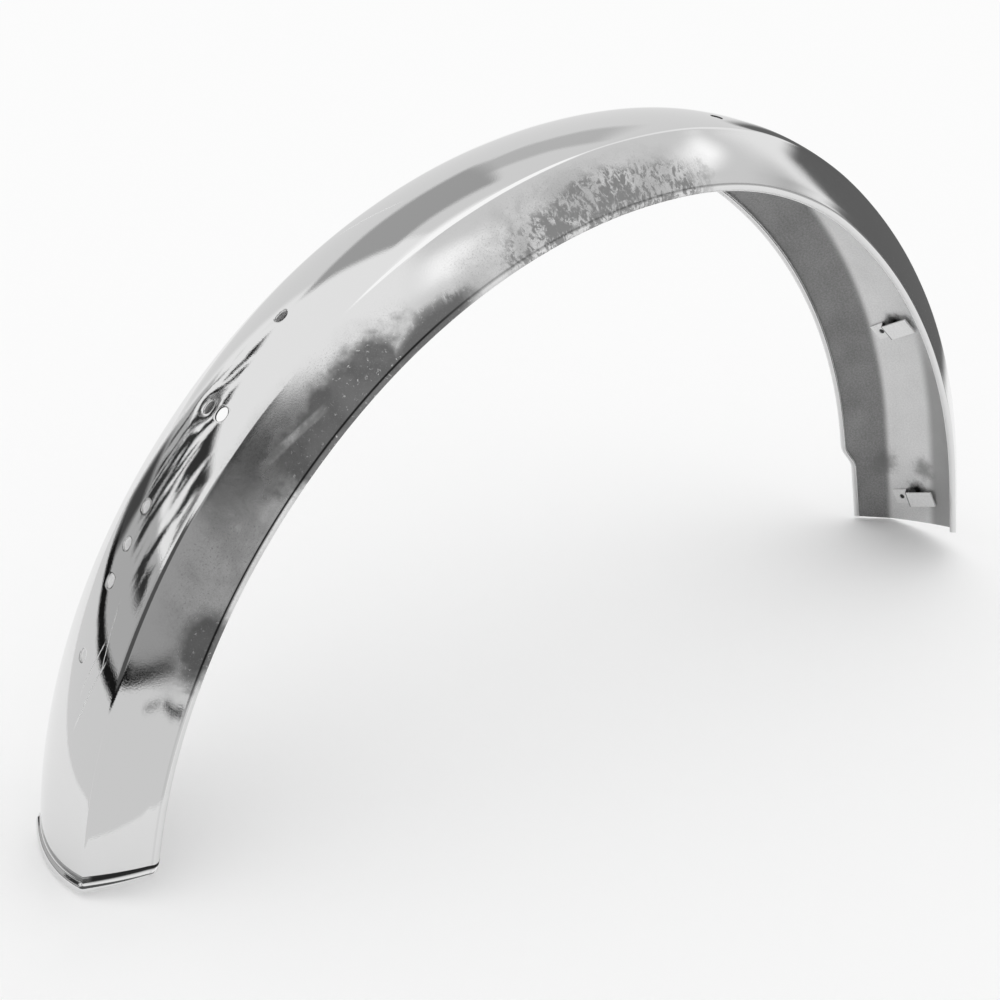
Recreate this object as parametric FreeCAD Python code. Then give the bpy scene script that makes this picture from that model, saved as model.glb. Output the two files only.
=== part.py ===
# Rear mudguard of a moped: one pressed steel arch over the wheel, with two wire clips welded inside it.
# Side view: tangent arcs round the wheel, running out straight at the front end.
# Section: an arched crown, a bend at each shoulder, flared walls and edges rolled inward to a tight bead.
# X runs along the machine with the tail at -X, Y runs along the axle, Z points up.
import FreeCAD
import Part
import math
import os

os.makedirs("parts", exist_ok=True)
V = FreeCAD.Vector
ACROSS = V(0, 1, 0)

# Arch in side view, at the shoulders; angles are those of the outward direction, from the front round to the tail
RUN_ANGLE = 16.1
FRONT_RADIUS = 332.0
TOP_START = 57.7
TOP_RADIUS = 221.0
TOP_END = 91.7
REAR_RADIUS = 302.0
TAIL_START = 129.7
TAIL_RADIUS = 335.0
TAIL_ANGLE = 173.55

# Sheet and section
SHEET = 1.0
CROWN_HALF = 27.4
CROWN_RISE = 4.6
SHOULDER_BEND = 4.0
EDGE_HALF = 44.9
WALL_DEPTH = 23.1
BEAD_RADIUS = 1.9

# Front end, which runs straight: the walls step in, and the end is cut back down the walls and on a skew,
# which is in mm for each mm across
STEP_CUT = 6.0
STEP_END = 41.0
STEP_RUN = 18.5
STRAIGHT_RUN = 4.4
FRONT_RUN = STEP_END + STEP_RUN + STRAIGHT_RUN
FRONT_SKEW = 0.3
FRONT_CUT_BACK = 13.0

# Tail end: the walls are cut back, and a groove and a rolled lip stiffen the end
TAIL_CUT_BACK = 13.5
TAIL_LEAN_RUN = 32.0
LEAN_SPANS = 3
LIP_WIDTH = 4.2
LIP_HEIGHT = 1.7
GROOVE_WIDTH = 3.4
GROOVE_DEPTH = 0.8

# Holes in the crown, by angle round the arch and distance from its centre line
LAMP_ANGLE = 148.4
LAMP_PITCH = 17.0
LAMP_HOLE = 5.6
PLATE_ANGLE = 157.0
PLATE_HOLE = 5.8
BRACE_ANGLE = 133.4
BRACE_PITCH = 47.0
BRACE_HOLE = 6.4
TAIL_CABLE_ANGLE = 137.3
TAIL_CABLE_OFFSET = -10.6
TAIL_CABLE_HOLE = 6.6
FRONT_CABLE_ANGLE = 81.5
FRONT_CABLE_OFFSET = -14.0
FRONT_CABLE_HOLE = 6.0

# Wire clips: strips welded by a pad to the inner face of the crown
CLIP_WIDTH = 10.8
CLIP_SHEET = 0.9
CLIP_PAD = 10.4
CLIP_RISER = 2.4
CLIP_RISE = 4.6
CLIP_TONGUE = 19.5
CLIP_TIP_GAP = 0.8
CLIP_BOW = 0.6
CLIP_WELD = 3.2
CLIP_WELD_DEPTH = 0.35
CLIP_SEAT = 0.2
LOWER_CLIP_STATION = 14.3
LOWER_CLIP_OFFSET = 17.7
LOWER_CLIP_SKEW = 18.0
UPPER_CLIP_STATION = 147.3
UPPER_CLIP_OFFSET = 19.9
UPPER_CLIP_SKEW = 27.0

# The arcs of the arch from front to tail: radius, first angle, last angle
ARCS = (
    (FRONT_RADIUS, RUN_ANGLE, TOP_START),
    (TOP_RADIUS, TOP_START, TOP_END),
    (REAR_RADIUS, TOP_END, TAIL_START),
    (TAIL_RADIUS, TAIL_START, TAIL_ANGLE),
)


def unit(angle):
    return V(math.cos(angle), math.sin(angle), 0)


def outward_at(degrees):
    angle = math.radians(degrees)
    return V(math.cos(angle), 0, math.sin(angle))


def along_at(degrees):
    angle = math.radians(degrees)
    return V(-math.sin(angle), 0, math.cos(angle))


def arc_spans():
    """Start station, radius, angles and centre of each arc, with the top arc's centre at the origin."""
    centres = [V(0, 0, 0)]
    for k in range(1, len(ARCS)):
        step = outward_at(ARCS[k][1]) * (ARCS[k - 1][0] - ARCS[k][0])
        centres.append(centres[-1] + step)
    home = centres[1]
    spans = []
    station = FRONT_RUN
    for (radius, first, last), centre in zip(ARCS, centres):
        spans.append((station, radius, first, last, centre - home))
        station += radius * math.radians(last - first)
    return spans, station


SPANS, LENGTH = arc_spans()


def path_frame(station):
    """Point on the shoulder line at a distance from the front end, with its outward and along directions."""
    start, radius, first, last, centre = SPANS[0]
    if station < start:
        out = outward_at(first)
        along = along_at(first)
        return centre + out * radius + along * (station - start), out, along
    for span in SPANS:
        if station >= span[0]:
            start, radius, first, last, centre = span
    degrees = first + math.degrees((station - start) / radius)
    out = outward_at(degrees)
    return centre + out * radius, out, along_at(degrees)


def station_of(degrees):
    for start, radius, first, last, centre in SPANS:
        if degrees <= last:
            return start + radius * math.radians(degrees - first)
    return LENGTH


def mirrored(point):
    return V(-point.x, point.y, 0)


def arc(a, b, c):
    return Part.Arc(a, b, c).toShape()


def bend_arc(a, b, c):
    """A tight bend of the sheet, drawn as a spline."""
    return Part.Arc(a, b, c).toBSpline().toShape()


def line(a, b):
    return Part.LineSegment(a, b).toShape()


CROWN_RADIUS = (CROWN_HALF ** 2 + CROWN_RISE ** 2) / (2 * CROWN_RISE)
CROWN_CENTRE = CROWN_RISE - CROWN_RADIUS


def section_edges(cut, swell):
    """Closed sheet section in its own plane, x across and y outward; cut shortens the walls."""
    flare = math.atan2(EDGE_HALF - CROWN_HALF, WALL_DEPTH)
    down = V(math.sin(flare), -math.cos(flare), 0)
    outward = unit(flare)
    shoulder = V(CROWN_HALF, 0, 0)
    crown = V(0, CROWN_CENTRE, 0)
    # Centre of the shoulder bend: inside the wall line and inside the crown circle
    base = shoulder - outward * SHOULDER_BEND - crown
    middle = base.dot(down)
    slide = -middle - math.sqrt(middle ** 2 - base.dot(base) + (CROWN_RADIUS - SHOULDER_BEND) ** 2)
    bend = crown + base + down * slide
    to_crown = (bend - crown).normalize()
    halfway = (to_crown + outward).normalize()
    wall_length = math.hypot(EDGE_HALF - CROWN_HALF, WALL_DEPTH) - cut
    bead = shoulder + down * wall_length + outward * (swell - BEAD_RADIUS)
    # The bead starts on the wall's outer face and closes on its inner face
    closing = 2 * math.pi - math.acos((BEAD_RADIUS - SHEET) / BEAD_RADIUS)
    inner_end = bead + unit(flare - closing) * BEAD_RADIUS
    inward = bead + unit(flare - closing / 2) * BEAD_RADIUS

    def side(crown_r, bend_r):
        return (crown + V(0, crown_r, 0), crown + to_crown * crown_r,
                bend + halfway * bend_r, bend + outward * bend_r)

    outer = side(CROWN_RADIUS + swell, SHOULDER_BEND + swell)
    inner = side(CROWN_RADIUS + swell - SHEET, SHOULDER_BEND + swell - SHEET)
    outer_end = bead + outward * BEAD_RADIUS
    runs = []
    for right, end in ((outer, outer_end), (inner, inner_end)):
        left = [mirrored(q) for q in right]
        runs.append([
            line(mirrored(end), left[3]),
            bend_arc(left[3], left[2], left[1]),
            arc(left[1], right[0], right[1]),
            bend_arc(right[1], right[2], right[3]),
            line(right[3], end),
        ])
    right_bead = bend_arc(outer_end, inward, inner_end)
    left_bead = bend_arc(mirrored(inner_end), mirrored(inward), mirrored(outer_end))
    return runs[0] + [right_bead] + runs[1][::-1] + [left_bead]


def set_matrix(station, lean=0.0):
    """Places a drawing of the section at a station; lean slides it along the arch with height."""
    origin, out, along = path_frame(station)
    upward = out + along * lean
    normal = ACROSS.cross(upward)
    return FreeCAD.Matrix(0, upward.x, normal.x, origin.x,
                          1, upward.y, normal.y, origin.y,
                          0, upward.z, normal.z, origin.z,
                          0, 0, 0, 1)


def section_wire(station, cut=0.0):
    wire = Part.Wire(section_edges(cut, 0.0))
    wire.transformShape(set_matrix(station))
    return wire


def leaned_wire(station, lean, swell):
    return Part.Wire(section_edges(0.0, swell)).transformGeometry(set_matrix(station, lean))


def ruled(wires):
    return Part.makeLoft(wires, True, True)


def straight(first, last, cut):
    face = Part.Face(section_wire(first, cut))
    return face.extrude(path_frame(first)[2] * (last - first))


def tail_lean(station):
    share = (station - (LENGTH - TAIL_LEAN_RUN)) / TAIL_LEAN_RUN
    return TAIL_CUT_BACK / WALL_DEPTH * min(max(share, 0.0), 1.0)


def spread(start, end, count):
    return [start + (end - start) * k / count for k in range(count + 1)]


def make_shell():
    margin = EDGE_HALF
    step_start = STEP_END + STEP_RUN
    lean_start = LENGTH - TAIL_LEAN_RUN
    lip_start = LENGTH - LIP_WIDTH - GROOVE_WIDTH
    bodies = [
        straight(-margin, STEP_END, STEP_CUT),
        ruled([section_wire(STEP_END, STEP_CUT), section_wire(step_start)]),
        straight(step_start, FRONT_RUN, 0.0),
    ]
    for start, radius, first, last, centre in SPANS:
        turn = math.radians(last - first)
        if last == TAIL_ANGLE:
            turn = (lean_start - start) / radius
        face = Part.Face(section_wire(start))
        bodies.append(face.revolve(centre, -ACROSS, math.degrees(turn)))
    bodies.append(ruled([leaned_wire(s, tail_lean(s), 0.0) for s in spread(lean_start, lip_start, LEAN_SPANS)]))
    lip = []
    for share, swell in ((0.0, 0.0), (0.25, -0.8 * GROOVE_DEPTH), (0.38, -GROOVE_DEPTH), (0.5, -0.2 * GROOVE_DEPTH),
                         (0.6, 0.7 * LIP_HEIGHT), (0.75, LIP_HEIGHT), (0.9, 0.85 * LIP_HEIGHT),
                         (1.0, 0.3 * LIP_HEIGHT)):
        station = lip_start + (LENGTH - lip_start) * share
        lip.append(leaned_wire(station, tail_lean(station), swell))
    bodies.append(ruled(lip))
    solid = bodies[0]
    for body in bodies[1:]:
        solid = solid.fuse(body)
    # Trim the front end with a plane that leans back down the walls and runs on a skew
    origin, out, along = path_frame(0.0)
    size = 4 * EDGE_HALF
    block = Part.makeBox(size, size, size, V(-size / 2, -size / 2, -size))
    keep = along + ACROSS * FRONT_SKEW + out * (FRONT_CUT_BACK / WALL_DEPTH)
    block.Placement = FreeCAD.Placement(origin, FreeCAD.Rotation(V(0, 0, 1), keep))
    return solid.cut(block)


def crown_height(offset):
    return CROWN_CENTRE + math.sqrt(CROWN_RADIUS ** 2 - offset ** 2)


def hole_tool(station, offset, diameter, axis=None):
    origin, out, along = path_frame(station)
    axis = axis or out
    point = origin + out * crown_height(offset) + ACROSS * offset
    reach = 8.0 * SHEET
    return Part.makeCylinder(diameter / 2, 2 * reach, point - axis * reach, axis)


def hole_tools():
    lamp = station_of(LAMP_ANGLE)
    brace = station_of(BRACE_ANGLE)
    tools = []
    for step in (-1, 0, 1):
        tools.append(hole_tool(lamp + step * LAMP_PITCH, 0.0, LAMP_HOLE, path_frame(lamp)[1]))
    for step in (-0.5, 0.5):
        tools.append(hole_tool(brace + step * BRACE_PITCH, 0.0, BRACE_HOLE, path_frame(brace)[1]))
    tools.append(hole_tool(station_of(PLATE_ANGLE), 0.0, PLATE_HOLE))
    tools.append(hole_tool(station_of(TAIL_CABLE_ANGLE), TAIL_CABLE_OFFSET, TAIL_CABLE_HOLE))
    tools.append(hole_tool(station_of(FRONT_CABLE_ANGLE), FRONT_CABLE_OFFSET, FRONT_CABLE_HOLE))
    return tools


def clip_wire():
    """Side of a clip in the plane of the section, its weld on the centre line: pad, riser and tongue."""
    seat = CROWN_RADIUS - SHEET - CLIP_SEAT
    crown = V(0, CROWN_CENTRE, 0)

    def on(across, lower):
        return crown + unit(math.pi / 2 - across / seat) * (seat - lower)

    pad_start = CLIP_PAD / 2
    pad_end = -CLIP_PAD / 2
    top = pad_end - CLIP_RISER
    tip = top - CLIP_TONGUE
    mid_tongue = (top + tip) / 2
    mid_low = (CLIP_RISE + CLIP_TIP_GAP) / 2 + CLIP_BOW
    lower = [on(pad_start, 0), on(pad_end, 0), on(top, CLIP_RISE), on(tip, CLIP_TIP_GAP)]
    upper = [on(pad_start, CLIP_SHEET), on(pad_end, CLIP_SHEET), on(top, CLIP_RISE + CLIP_SHEET),
             on(tip, CLIP_TIP_GAP + CLIP_SHEET)]
    return Part.Wire([
        arc(lower[0], on(0, 0), lower[1]),
        line(lower[1], lower[2]),
        arc(lower[2], on(mid_tongue, mid_low), lower[3]),
        line(lower[3], upper[3]),
        arc(upper[3], on(mid_tongue, mid_low + CLIP_SHEET), upper[2]),
        line(upper[2], upper[1]),
        arc(upper[1], on(0, CLIP_SHEET), upper[0]),
        line(upper[0], lower[0]),
    ])


def make_clip(station, offset, skew):
    """A clip made square on the crown's centre line, then turned to its skew and slid across the crown."""
    first = station - CLIP_WIDTH / 2
    wire = clip_wire()
    wire.transformShape(set_matrix(first))
    face = Part.Face(wire)
    if station < FRONT_RUN:
        clip = face.extrude(path_frame(first)[2] * CLIP_WIDTH)
    else:
        start, radius, first_angle, last_angle, centre = [s for s in SPANS if station >= s[0]][-1]
        clip = face.revolve(centre, -ACROSS, math.degrees(CLIP_WIDTH / radius))
    # The spot weld leaves a shallow round mark in the pad
    origin, out, along = path_frame(station)
    mark = origin + out * (CROWN_RISE - SHEET - CLIP_SEAT - CLIP_SHEET + CLIP_WELD_DEPTH)
    clip = clip.cut(Part.makeCylinder(CLIP_WELD / 2, CLIP_SHEET, mark - out * CLIP_SHEET, out))
    clip.rotate(origin, out, -skew)
    lean = math.degrees(offset / (CROWN_RADIUS - SHEET))
    clip.rotate(origin + out * CROWN_CENTRE, along, lean)
    return clip


shell = make_shell()
for tool in hole_tools():
    shell = shell.cut(tool)
pieces = {
    "mudguard_shell": shell,
    "wire_clip_lower": make_clip(LOWER_CLIP_STATION, LOWER_CLIP_OFFSET, LOWER_CLIP_SKEW),
    "wire_clip_upper": make_clip(UPPER_CLIP_STATION, UPPER_CLIP_OFFSET, UPPER_CLIP_SKEW),
}

# The guard stands on its two ends, centred over the origin
box = shell.optimalBoundingBox(False, False)
shift = V(-(box.XMin + box.XMax) / 2, 0, -box.ZMin)
for name, shape in pieces.items():
    shape.translate(shift)
    shape.exportStep("parts/" + name + ".step")
    size = shape.optimalBoundingBox(False, False)
    print(name, len(shape.Solids), shape.isValid(), round(shape.Volume, 1),
          [round(n, 2) for n in (size.XMin, size.YMin, size.ZMin, size.XMax, size.YMax, size.ZMax)])
print("top arc centre at", [round(n, 3) for n in shift])
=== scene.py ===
"""Looks of a chromed moped rear mudguard.

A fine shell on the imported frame, worn plating, two dressed clips and a plain studio.
"""
import bmesh
import bpy
import math
from mathutils import Matrix, Vector, noise


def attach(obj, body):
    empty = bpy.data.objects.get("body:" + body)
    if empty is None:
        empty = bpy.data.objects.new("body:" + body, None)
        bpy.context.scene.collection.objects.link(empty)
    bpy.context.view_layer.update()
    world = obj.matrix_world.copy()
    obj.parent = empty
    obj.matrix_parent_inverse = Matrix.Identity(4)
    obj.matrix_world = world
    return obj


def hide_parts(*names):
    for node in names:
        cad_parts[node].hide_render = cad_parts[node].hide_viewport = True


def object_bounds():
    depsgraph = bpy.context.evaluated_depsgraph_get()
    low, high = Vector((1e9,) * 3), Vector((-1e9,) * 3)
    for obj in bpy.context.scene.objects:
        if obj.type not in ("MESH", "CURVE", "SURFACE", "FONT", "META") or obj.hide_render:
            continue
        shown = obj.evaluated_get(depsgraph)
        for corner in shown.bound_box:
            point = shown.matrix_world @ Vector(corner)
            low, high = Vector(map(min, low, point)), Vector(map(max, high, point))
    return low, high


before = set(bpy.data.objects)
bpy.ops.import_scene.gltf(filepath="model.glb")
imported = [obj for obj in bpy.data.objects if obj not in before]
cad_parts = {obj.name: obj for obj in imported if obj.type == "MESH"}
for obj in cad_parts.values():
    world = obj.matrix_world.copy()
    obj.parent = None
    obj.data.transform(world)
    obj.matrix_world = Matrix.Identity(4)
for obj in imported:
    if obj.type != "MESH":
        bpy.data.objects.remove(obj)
cad_low, cad_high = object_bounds()

MM = 0.001

# Arch in side view, at the shoulders, in millimetres and degrees
RUN_ANGLE = 16.1
FRONT_RADIUS = 332.0
TOP_START = 57.7
TOP_RADIUS = 221.0
TOP_END = 91.7
REAR_RADIUS = 302.0
TAIL_START = 129.7
TAIL_RADIUS = 335.0
TAIL_ANGLE = 173.55

# Sheet and section
SHEET = 1.0
CROWN_HALF = 27.4
CROWN_RISE = 4.6
SHOULDER_BEND = 4.0
EDGE_HALF = 44.9
WALL_DEPTH = 23.1
BEAD_RADIUS = 1.9

# Front end
STEP_CUT = 6.0
STEP_END = 41.0
STEP_RUN = 18.5
STRAIGHT_RUN = 4.4
FRONT_RUN = STEP_END + STEP_RUN + STRAIGHT_RUN
FRONT_SKEW = 0.3
FRONT_CUT_BACK = 13.0

# Tail end
TAIL_CUT_BACK = 13.5
TAIL_LEAN_RUN = 32.0
LIP_WIDTH = 4.2
LIP_HEIGHT = 1.7
LIP_MIDDLE = 0.52
GROOVE_WIDTH = 3.4
GROOVE_DEPTH = 0.8

# Holes: angle or station, distance from the centre line and diameter
LAMP_ANGLE = 148.4
LAMP_PITCH = 17.0
LAMP_HOLE = 5.6
PLATE_ANGLE = 157.0
PLATE_HOLE = 5.8
BRACE_ANGLE = 133.4
BRACE_PITCH = 47.0
BRACE_HOLE = 6.4
TAIL_CABLE_ANGLE = 137.3
TAIL_CABLE_OFFSET = -10.6
TAIL_CABLE_HOLE = 6.6
FRONT_CABLE_ANGLE = 81.5
FRONT_CABLE_OFFSET = -14.0
FRONT_CABLE_HOLE = 6.0

# Square of the grid round a hole, and the rings of faces from it to the hole's rounded edge
HOLE_BLOCK = 5.2
HOLE_LINES = 3
HOLE_EDGE = 0.3
HOLE_EDGE_TURN = 0.3
HOLE_OUTER_RINGS = (0.35, 0.7)
HOLE_INNER_RING = 0.6
GRID_SLACK = 1e-6

# Fineness of the mesh
ROW_STEP = 2.6
CLOSEST_LINES = 0.14
COLUMN_STEP = 2.2
BEND_COUNT = 6
WALL_COUNT = 11
BEAD_COUNT = 16
BEAD_ACROSS_STEP = 0.6
FRONT_ROWS = 16
STEP_ROWS = 12
LIP_ROWS = 26
SHARP_ANGLE = 40.0

# Unevenness of the pressed sheet: waves with finer ripples, swollen walls and a dimple
WAVE_HEIGHT = 0.05
WAVE_ALONG = 34.0
WAVE_ACROSS = 15.0
WAVE_SEED = 3.7
RIPPLE_SHARE = 0.35
RIPPLE_ALONG = 2.3
RIPPLE_ACROSS = 2.1
RIPPLE_SEED = 9.1
EDGE_FADE = 6.0
WALL_BULGE = 0.55
DIMPLE_DEPTH = 0.5
DIMPLE_RADIUS = 6.0

# Spot welds of the wire clips: station, distance from the centre line and skew in degrees
CLIP_WELDS = ((14.3, 17.7, 18.0), (147.3, 19.9, 27.0))
# Band across each clip, by distance from the weld, where shadow on the riser is painted
RISER_START = 4.9
RISER_END = 7.4
CLIP_REACH = 30.0
CLIP_TOP = 2.1
WELD_RADIUS = 1.7
# Painted shadow under each clip's tongue on the inside of the sheet: offset from the weld and reach
CLIP_SHADOW_ALONG = 8.0
CLIP_SHADOW_ACROSS = 11.5
CLIP_SHADOW_REACH = 8.0

# Camera that took the photograph, in metres and degrees
CAMERA_PLACE = Vector((-0.40805, -0.47006, 0.38907))
CAMERA_HEADING = 36.44
CAMERA_PITCH = -25.15
CAMERA_ROLL = 1.69
CAMERA_LENS = 47.025
CAMERA_SENSOR = 36.0

ARCS = (
    (FRONT_RADIUS, RUN_ANGLE, TOP_START),
    (TOP_RADIUS, TOP_START, TOP_END),
    (REAR_RADIUS, TOP_END, TAIL_START),
    (TAIL_RADIUS, TAIL_START, TAIL_ANGLE),
)
ACROSS = Vector((0, 1, 0))


def outward_at(degrees):
    angle = math.radians(degrees)
    return Vector((math.cos(angle), 0, math.sin(angle)))


def along_at(degrees):
    angle = math.radians(degrees)
    return Vector((-math.sin(angle), 0, math.cos(angle)))


def arc_spans():
    """Start station, radius, angles and centre of each arc, with the top arc's centre at the origin."""
    centres = [Vector((0, 0, 0))]
    for k in range(1, len(ARCS)):
        centres.append(centres[-1] + outward_at(ARCS[k][1]) * (ARCS[k - 1][0] - ARCS[k][0]))
    spans = []
    station = FRONT_RUN
    for (radius, first, last), centre in zip(ARCS, centres):
        spans.append((station, radius, first, last, centre - centres[1]))
        station += radius * math.radians(last - first)
    return spans, station


SPANS, LENGTH = arc_spans()


def path_frame(station):
    """Point on the shoulder line, with its outward and along directions."""
    start, radius, first, last, centre = SPANS[0]
    if station < start:
        out = outward_at(first)
        along = along_at(first)
        return centre + out * radius + along * (station - start), out, along
    for span in SPANS:
        if station >= span[0]:
            start, radius, first, last, centre = span
    degrees = first + math.degrees((station - start) / radius)
    out = outward_at(degrees)
    return centre + out * radius, out, along_at(degrees)


def station_of(degrees):
    for start, radius, first, last, centre in SPANS:
        if degrees <= last:
            return start + radius * math.radians(degrees - first)
    return LENGTH


def ease(share):
    share = min(max(share, 0.0), 1.0)
    return share * share * (3 - 2 * share)


# Fixed points of the section: x across, y outward
CROWN_RADIUS = (CROWN_HALF ** 2 + CROWN_RISE ** 2) / (2 * CROWN_RISE)
CROWN_CENTRE = Vector((0, CROWN_RISE - CROWN_RADIUS))
FLARE = math.atan2(EDGE_HALF - CROWN_HALF, WALL_DEPTH)
DOWN = Vector((math.sin(FLARE), -math.cos(FLARE)))
OUTWARD = Vector((math.cos(FLARE), math.sin(FLARE)))
SHOULDER = Vector((CROWN_HALF, 0))


def bend_centre():
    base = SHOULDER - OUTWARD * SHOULDER_BEND - CROWN_CENTRE
    middle = base.dot(DOWN)
    slide = -middle - math.sqrt(middle ** 2 - base.dot(base) + (CROWN_RADIUS - SHOULDER_BEND) ** 2)
    return CROWN_CENTRE + base + DOWN * slide


BEND = bend_centre()
CROWN_SIDE = (BEND - CROWN_CENTRE).normalized()
CROWN_TURN = math.atan2(CROWN_SIDE.x, CROWN_SIDE.y)
CROWN_EDGE = CROWN_RADIUS * CROWN_TURN
BEND_TURN = math.pi / 2 - FLARE - CROWN_TURN
WALL_START = BEND + OUTWARD * SHOULDER_BEND
WALL_LENGTH = math.hypot(EDGE_HALF - CROWN_HALF, WALL_DEPTH)
WALL_TOP = CROWN_EDGE + SHOULDER_BEND * BEND_TURN
BEAD_TURN = 2 * math.pi - math.acos((BEAD_RADIUS - SHEET) / BEAD_RADIUS)


def unit(angle):
    return Vector((math.cos(angle), math.sin(angle)))


def wall_reach(cut):
    return (SHOULDER + DOWN * (WALL_LENGTH - cut) - WALL_START).dot(DOWN)


def section_point(across, depth, swell):
    """Point and normal of the sheet, by the distance round the section and the depth in the sheet."""
    side = 1.0 if across >= 0 else -1.0
    run = abs(across)
    if run <= CROWN_EDGE:
        normal = unit(math.pi / 2 - run / CROWN_RADIUS)
        point = CROWN_CENTRE + normal * (CROWN_RADIUS + swell - depth)
    elif run <= WALL_TOP:
        normal = unit(math.pi / 2 - CROWN_TURN - (run - CROWN_EDGE) / SHOULDER_BEND)
        point = BEND + normal * (SHOULDER_BEND + swell - depth)
    else:
        normal = OUTWARD
        point = WALL_START + DOWN * (run - WALL_TOP) + OUTWARD * (swell - depth)
    return Vector((point.x * side, point.y)), Vector((normal.x * side, normal.y))


def bead_point(side, share, swell, cut):
    """Point round the bead, from the wall's outer face at 0 to its inner face at 1."""
    centre = SHOULDER + DOWN * (WALL_LENGTH - cut) + OUTWARD * (swell - BEAD_RADIUS)
    point = centre + unit(FLARE - BEAD_TURN * share) * BEAD_RADIUS
    return Vector((point.x * side, point.y))


def step_cut(station):
    return STEP_CUT * (1 - ease((station - STEP_END) / STEP_RUN))


def tail_lean(station):
    share = (station - (LENGTH - TAIL_LEAN_RUN)) / TAIL_LEAN_RUN
    return TAIL_CUT_BACK / WALL_DEPTH * min(max(share, 0.0), 1.0)


def lip_swell(station):
    """Groove and rounded lip at the tail end."""
    run = station - (LENGTH - LIP_WIDTH - GROOVE_WIDTH)
    if run <= 0:
        return 0.0
    groove = -GROOVE_DEPTH * math.sin(math.pi * min(run / GROOVE_WIDTH, 1.0)) ** 2
    middle = GROOVE_WIDTH + LIP_WIDTH * LIP_MIDDLE
    half = LIP_WIDTH / 2
    share = (run - middle) / half
    lip = LIP_HEIGHT * math.sqrt(max(1 - share * share, 0.0))
    return groove + lip


def hole_list():
    """Station, offset and radius of each hole in the crown."""
    lamp = station_of(LAMP_ANGLE)
    brace = station_of(BRACE_ANGLE)
    holes = []
    for step in (-1, 0, 1):
        holes.append((lamp + step * LAMP_PITCH, 0.0, LAMP_HOLE / 2))
    for step in (-0.5, 0.5):
        holes.append((brace + step * BRACE_PITCH, 0.0, BRACE_HOLE / 2))
    holes.append((station_of(PLATE_ANGLE), 0.0, PLATE_HOLE / 2))
    holes.append((station_of(TAIL_CABLE_ANGLE), TAIL_CABLE_OFFSET, TAIL_CABLE_HOLE / 2))
    holes.append((station_of(FRONT_CABLE_ANGLE), FRONT_CABLE_OFFSET, FRONT_CABLE_HOLE / 2))
    return holes


HOLES = hole_list()
DIMPLED = HOLES[4]


def unevenness(station, across):
    """Height of the sheet's waves, of the walls' swell and of the dimple round one bolt hole."""
    along_waves = station / WAVE_ALONG
    across_waves = across / WAVE_ACROSS
    wave = noise.noise(Vector((along_waves, across_waves, WAVE_SEED)))
    ripple = noise.noise(Vector((along_waves * RIPPLE_ALONG, across_waves * RIPPLE_ACROSS, RIPPLE_SEED)))
    height = WAVE_HEIGHT * (wave + RIPPLE_SHARE * ripple)
    far = math.hypot(station - DIMPLED[0], across - DIMPLED[1]) / DIMPLE_RADIUS
    height -= DIMPLE_DEPTH * math.exp(-far * far)
    share = (abs(across) - WALL_TOP) / wall_reach(0.0)
    if share > 0:
        height += WALL_BULGE * 4 * share * (1 - share)
    return height


def place(station, point):
    origin, out, along = path_frame(station)
    upward = out + along * tail_lean(station)
    return origin + ACROSS * point.x + upward * point.y


def sheet_point(station, across, depth):
    cut = step_cut(station)
    point, normal = section_point(across, depth, lip_swell(station))
    fade = ease((WALL_TOP + wall_reach(cut) - abs(across)) / EDGE_FADE)
    point = point + normal * (unevenness(station, across) * fade)
    return place(station, point)


def spaced(lines, start, end, step):
    """Grid lines: the wanted ones, with even ones between them."""
    kept = sorted(set([start, end] + list(lines)))
    grid = [kept[0]]
    for line in kept[1:]:
        if line - grid[-1] < CLOSEST_LINES:
            continue
        count = max(1, round((line - grid[-1]) / step))
        begin = grid[-1]
        for k in range(1, count + 1):
            grid.append(begin + (line - begin) * k / count)
    return grid


def shell_rows():
    lines = []
    for station, offset, radius in HOLES:
        lines += [station + HOLE_BLOCK * k / HOLE_LINES for k in range(-HOLE_LINES, HOLE_LINES + 1)]
    lip_start = LENGTH - LIP_WIDTH - GROOVE_WIDTH
    rows = spaced(lines, STEP_END + STEP_RUN, lip_start, ROW_STEP)
    step = [STEP_END + STEP_RUN * k / STEP_ROWS for k in range(1, STEP_ROWS)]
    lip = [lip_start + (LENGTH - lip_start) * k / LIP_ROWS for k in range(1, LIP_ROWS + 1)]
    return step + rows + lip


def crown_columns():
    lines = [0.0]
    for station, offset, radius in HOLES:
        lines += [offset + HOLE_BLOCK * k / HOLE_LINES for k in range(-HOLE_LINES, HOLE_LINES + 1)]
    return spaced(lines, -CROWN_EDGE, CROWN_EDGE, COLUMN_STEP)


class MeshMaker:
    """Collects vertices with their place on the sheet, and faces with their finish."""

    def __init__(self):
        self.points = []
        self.stations = []
        self.across = []
        self.faces = []
        self.finish = []

    def vertex(self, point, station, across):
        self.points.append(point)
        self.stations.append(station)
        self.across.append(across)
        return len(self.points) - 1

    def face(self, corners, finish):
        self.faces.append(corners)
        self.finish.append(finish)

    def strip(self, first, second, finish, closed=False):
        count = len(first) if closed else len(first) - 1
        for k in range(count):
            n = (k + 1) % len(first)
            self.face((first[k], first[n], second[n], second[k]), finish)


OUTSIDE, INSIDE = 0, 1


def front_station(point, share):
    start = -FRONT_SKEW * point.x - FRONT_CUT_BACK / WALL_DEPTH * point.y
    return start + (STEP_END - start) * share


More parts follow.
